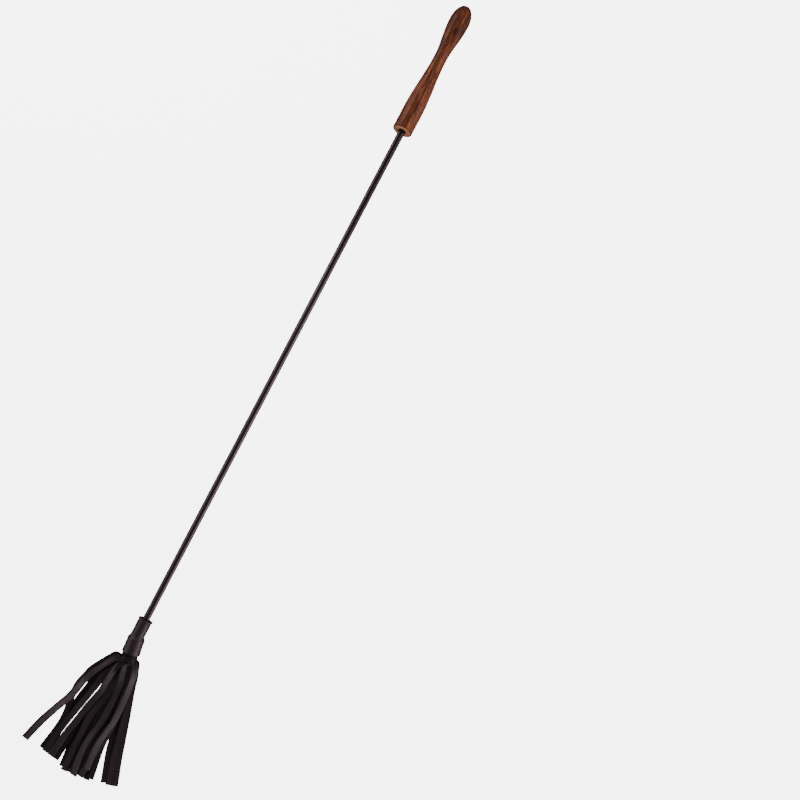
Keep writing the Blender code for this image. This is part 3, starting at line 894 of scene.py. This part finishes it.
def strip_centre(layout, tier, number, count, half_row, waypoints):
    """The strip's middle line in the tassel's own axes, from inside the ferrule to the tip."""
    across = half_row * row_place(number, count)
    root = np.array((math.sqrt(STRIP_START ** 2 - across ** 2), across))
    turn = -layout["bend"]
    turned_back = np.array(((math.cos(turn), -math.sin(turn)), (math.sin(turn), math.cos(turn))))
    points = np.array([root] + [turned_back @ np.array(point) for point in waypoints])
    slopes = np.zeros_like(points)
    slopes[0] = root / STRIP_START * np.linalg.norm(points[1] - points[0])
    slopes[1:-1] = (points[2:] - points[:-2]) / 2
    slopes[-1] = points[-1] - points[-2]
    plan = hermite(points, slopes, 400)
    reach = np.hypot(plan[:, 0], plan[:, 1])
    outer = np.column_stack((plan, strip_height(tier, reach)))
    side, height, _ = neck_place(tier, number, count)
    neck_from = np.array((NECK_START, side, height))
    neck_to = np.array((NECK_END, side, height))
    gap = np.linalg.norm(outer[0] - neck_to)
    lead = outer[1] - outer[0]
    lead *= gap / np.linalg.norm(lead)
    link = hermite(np.array((neck_to, outer[0])), np.array(((gap, 0, 0), lead)), 40)
    whole = np.vstack((neck_from, link[:-1], outer))
    steps = np.linalg.norm(np.diff(whole, axis=0), axis=1)
    travel = np.concatenate(((0,), np.cumsum(steps)))
    count_out = int(travel[-1] / STATION_STEP)
    even = np.linspace(0, travel[-1], count_out + 1)
    return np.column_stack([np.interp(even, travel, whole[:, i]) for i in range(3)]), even


def smooth_noise(values, seed, scale):
    return np.array([noise.noise(Vector((v * scale, seed * 7.31, 3.7))) for v in values])


def section(half, thick):
    """Points round a strip's section, as (across, up, face): face is 0 top, 1 side, 2 under."""
    flat = np.linspace(-half + STRIP_CORNER, half - STRIP_CORNER, 7)
    ring = [(u, thick, 0) for u in flat]
    ring += [(half - 0.04, thick * 0.7, 1), (half, 0, 1), (half - 0.04, -thick * 0.7, 1)]
    ring += [(u, -thick, 2) for u in flat[::-1]]
    ring += [(-half + 0.04, -thick * 0.7, 1), (-half, 0, 1), (-half + 0.04, thick * 0.7, 1)]
    return ring


def draw_habits(look, draw):
    """A strip's own habits, drawn in a fixed order so that every strip is its own."""
    plain_tone = draw.uniform(0.1, 0.5)
    return {
        # listed keys carry painted highlight and shade; the drawn plain tone is the leather's own
        "tone_and_painted_light": look.get("tone_and_painted_light", ((0, plain_tone),)),
        "grain_up": look.get("grain_up", draw.random() < 0.55),
        "slant": draw.uniform(-TIP_SLANT, TIP_SLANT),
        "curl": draw.uniform(0.0, 1.0),
        "unroll_at": draw.uniform(*UNROLLED_AT),
    }


def along_keys(keys, reach):
    keys = np.array(keys)
    return np.interp(reach, keys[:, 0], keys[:, 1])


def strip_roll(look, tier, turn, outermost, unroll_at, seed, reach, travel):
    """How far a strip is turned about its own length at each station, in degrees."""
    roll = -math.degrees(turn)
    if roll < -90:
        roll += 180
    if roll > 90:
        roll -= 180
    unroll_from = 3 if outermost else 5
    roll = roll * (1 - ease((reach - unroll_from) / (unroll_at - unroll_from)))
    if "roll" in look:
        extra = along_keys(((8, 0.0),) + look["roll"], reach)
        kernel = np.hanning(9) / np.hanning(9).sum()
        roll += np.convolve(np.pad(extra, 4, mode="edge"), kernel, mode="valid")
    sway = 7 if tier == 3 else 2.5
    return roll + smooth_noise(travel, seed, 0.045) * ease((reach - 10) / 40) * sway


def strip_width(look, outermost, seed, reach, travel):
    open_width = along_keys(look.get("width", ((0, STRIP_WIDTH),)), reach)
    opened = ease((reach - 3) / (6 if outermost else 14))
    width = STRIP_NECK_WIDTH + (open_width - STRIP_NECK_WIDTH) * opened
    return width + 0.12 * smooth_noise(travel, seed + 40, 0.11)


def strip_cup(tier, wraps, outermost, grain_up, seed, reach, travel):
    """Curvature across a strip: bent round the neck, then nearly flat."""
    sign = 1 if tier >= 2 else -1
    around = sign * (1 / NECK_RADIUS if wraps else 0.05)
    cup = around * (1 - ease((reach - 2) / (9 if outermost else 16)))
    cup = cup + 0.025 * (1 if grain_up else -1) * ease((reach - 10) / 40)
    return cup + 0.012 * smooth_noise(travel, seed + 80, 0.05)


def strip_axes(centre, roll):
    """The strip's own axes at each station: along it, across it and through its thickness."""
    ahead = np.gradient(centre, axis=0)
    ahead /= np.linalg.norm(ahead, axis=1)[:, None]
    level = np.column_stack((-ahead[:, 1], ahead[:, 0], np.zeros(len(ahead))))
    level /= np.linalg.norm(level, axis=1)[:, None]
    up = np.cross(ahead, level)
    broad = level * np.cos(roll)[:, None] + up * np.sin(roll)[:, None]
    thin = up * np.cos(roll)[:, None] - level * np.sin(roll)[:, None]
    return ahead, broad, thin


def belt_mesh(name, verts, faces_of, grain_up, finishes):
    """A belt through rings of points; faces_of says which face of the leather each point is on."""
    size = len(faces_of)
    top_index, under_index = (0, 1) if grain_up else (1, 0)
    index_of = {0: top_index, 1: 2, 2: under_index}
    bm = bmesh.new()
    points = [bm.verts.new(v) for v in verts]
    rings = [points[i:i + size] for i in range(0, len(points), size)]
    for near, far in zip(rings, rings[1:]):
        for k in range(size):
            after = (k + 1) % size
            face = bm.faces.new((near[k], near[after], far[after], far[k]))
            same = faces_of[k] == faces_of[after]
            face.material_index = index_of[faces_of[k]] if same else 2
    for ring in (rings[0], rings[-1]):
        bm.faces.new(ring).material_index = 2
    return finish_mesh(name, bm, finishes, 50)


def make_strip(layout, name, row, number, waypoints, draw, finishes):
    """One leather strip: wrapped round the neck at its root, rolling flat, cut square at its tip.

    row is its tier, how many strips that has and half the width of its roots.
    """
    tier, count, half_row = row
    look = STRIP_LOOKS.get(name, {})
    centre, travel = strip_centre(layout, tier, number, count, half_row, waypoints)
    reach = np.hypot(centre[:, 0], centre[:, 1]) * np.sign(np.maximum(centre[:, 0], 1e-3))
    seed = tier * 10 + number + 1
    outermost = number in (0, count - 1)
    habits = draw_habits(look, draw)
    grain_up = habits["grain_up"]
    # tone with painted highlight and shade along the strip
    tone_and_painted_light = along_keys(habits["tone_and_painted_light"], reach) + 0.06 * smooth_noise(travel, seed + 160, 0.09)
    _, _, turn = neck_place(tier, number, count)
    unroll_at = OUTERMOST_UNROLLED_AT if outermost else habits["unroll_at"]
    roll = np.radians(strip_roll(look, tier, turn, outermost, unroll_at, seed, reach, travel))
    width = strip_width(look, outermost, seed, reach, travel)
    wraps = tier in (0, 3) or outermost
    cup = strip_cup(tier, wraps, outermost, grain_up, seed, reach, travel)
    if tier == 3:
        lift = 0.5 * (1 + smooth_noise(travel, seed + 120, 0.035)) * ease((reach - 10) / 40)
        centre[:, 2] += np.abs(np.sin(roll)) * width / 2 * ease((reach - 6) / 10)
        centre[:, 2] += lift * habits["curl"]
    ahead, broad, thin = strip_axes(centre, roll)
    verts, skin = [], []
    thick = STRIP_THICKNESS / 2
    last = len(centre) - 1
    for i in range(last + 1):
        ring = section(width[i] / 2, thick * (0.96 if i < last else 0.8))
        slant = habits["slant"] * ease((travel[i] - travel[-1] + 6) / 6)
        bend = cup[i] if abs(cup[i]) > 1e-5 else 1e-5
        squeezed = 1 - float(ease((reach[i] - 3) / 12))
        for u, v, _ in ring:
            wave = noise.noise(Vector((travel[i] * 0.33, u * 0.25, seed * 3.1))) * 0.1
            crease = noise.noise(Vector((travel[i] * 0.9, u * 0.5, seed * 5.7)))
            out = v + wave + 0.2 * crease * squeezed
            rise = (math.cos(u * bend) - 1) / bend + out * math.cos(u * bend)
            sideways = math.sin(u * bend) / bend + out * math.sin(u * bend)
            point = centre[i] + broad[i] * sideways + thin[i] * rise + ahead[i] * slant * u
            verts.append(to_frame(layout, point))
            skin.append((travel[i], u, seed * 10.0))
    faces_of = [face for _, _, face in ring]
    made = belt_mesh(f"{name}_leather", verts, faces_of, grain_up, finishes)
    set_attribute(made.data, "skin", "FLOAT_VECTOR", skin)
    set_attribute(made.data, "tone_and_painted_light", "FLOAT", np.repeat(tone_and_painted_light, len(faces_of)))
    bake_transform(made)
    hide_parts(name)


def make_strips(layout, finishes):
    draw = random.Random(STRIP_SEED)
    for tier, (tier_name, half_row, strips) in enumerate(TIERS):
        row = tier, len(strips), half_row
        for number, waypoints in enumerate(strips):
            name = f"strip_{tier_name}_{number + 1}"
            make_strip(layout, name, row, number, waypoints, draw, finishes)


def finish_thread(thread):
    node = bpy.data.objects["binding_thread"]
    node.data.materials.clear()
    node.data.materials.append(thread)


# ---------------------------------------------------------------- stage

def make_floor():
    mesh = bpy.data.meshes.new("floor")
    ways = ((-1, -1), (1, -1), (1, 1), (-1, 1))
    square = [(x * FLOOR_HALF, y * FLOOR_HALF, -FLOOR_DROP) for x, y in ways]
    mesh.from_pydata(square, [], [(0, 1, 2, 3)])
    mesh.materials.append(floor_material())
    floor = bpy.data.objects.new("floor", mesh)
    bpy.context.scene.collection.objects.link(floor)


def make_light(name, place, aim, size, power):
    data = bpy.data.lights.new(name, "AREA")
    data.shape = "RECTANGLE"
    data.size, data.size_y = size
    data.energy = power
    data.color = STUDIO_TINT
    lamp = bpy.data.objects.new(name, data)
    lamp.location = place
    lamp.rotation_euler = (Vector(aim) - Vector(place)).to_track_quat("-Z", "Y").to_euler()
    bpy.context.scene.collection.objects.link(lamp)


def make_world():
    """A light tent: bright low round the sides and dark overhead, but pale behind the swatter."""
    world = bpy.data.worlds.new("light_tent")
    world.use_nodes = True
    tree = world.node_tree
    where = add(tree, "ShaderNodeTexCoord").outputs["Generated"]
    split = add(tree, "ShaderNodeSeparateXYZ", {0: where}).outputs
    height = ramp(tree, split["Z"], ((0.0, 1.0), (0.6, 0.95), (0.86, 0.3), (1.0, 0.1)))
    from_left = stretched(tree, split["Y"], 0.5, 0.5)
    sides = ramp(tree, from_left, ((0.0, 0.66), (0.4, 0.4), (0.6, 0.5), (1.0, 1.0)))
    ends = maths(tree, "MULTIPLY", split["X"], split["X"])
    ends = maths(tree, "SUBTRACT", 1.0, maths(tree, "MULTIPLY", ends, 0.7))
    glow = mixed(tree, 1.0, height, sides, "MULTIPLY")
    glow = mixed(tree, 1.0, glow, maths(tree, "MULTIPLY", ends, TENT_GLOW), "MULTIPLY")
    glow = mixed(tree, 1.0, glow, STUDIO_TINT, "MULTIPLY")
    seen = add(tree, "ShaderNodeLightPath").outputs["Is Camera Ray"]
    glow = mixed(tree, seen, glow, (BACKDROP_GLOW,) * 3)
    background = tree.nodes["Background"]
    tree.links.new(glow, background.inputs["Color"])
    bpy.context.scene.world = world


def make_camera(layout):
    """Straight down over the rod, with the lens shifted to put the swatter left of the middle."""
    stand = bpy.data.objects.new("camera_stand", None)
    stand.location = (layout["mouth"] + Vector(CAMERA_FROM_MOUTH)) * MM
    right = Vector(CAMERA_RIGHT).normalized()
    up = Vector((-right.y, right.x, 0))
    turn = Matrix((right, up, (0, 0, 1))).transposed()
    stand.rotation_euler = turn.to_euler()
    bpy.context.scene.collection.objects.link(stand)
    data = bpy.data.cameras.new("camera")
    data.lens = CAMERA_LENS
    camera = bpy.data.objects.new("camera", data)
    camera.parent = stand
    bpy.context.scene.collection.objects.link(camera)
    bpy.context.scene.camera = camera
    for channel, shift in zip(("shift_x", "shift_y"), CAMERA_SHIFT):
        curve = data.driver_add(channel)
        driver = curve.driver
        driver.type = "AVERAGE"
        variable = driver.variables.new()
        variable.type = "LOC_DIFF"
        variable.targets[0].id = camera
        variable.targets[1].id = stand
        while curve.modifiers:
            curve.modifiers.remove(curve.modifiers[0])
        for distance, value in ((0.0, shift), (CAMERA_LEAVES_STAND, 0.0)):
            key = curve.keyframe_points.insert(distance, value)
            key.interpolation = "LINEAR"


def make_stage(layout):
    make_floor()
    make_world()
    for name, (place, aim, size, power) in LIGHTS.items():
        make_light(name, place, aim, size, power)
    make_camera(layout)


def main():
    for existing in list(bpy.data.objects):
        bpy.data.objects.remove(existing)
    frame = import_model()
    layout = read_layout(frame)
    make_handle(layout, wood_material(layout), end_grain_material(layout["axis"]), glue_material())
    make_rod(layout, rod_material(), glass_fibre_material())
    make_ferrule(layout, rubber_material())
    finish_thread(thread_material())
    grain = grain_material()
    make_root(layout, grain)
    make_strips(layout, (grain, suede_material(), cut_edge_material()))
    make_stage(layout)


main()
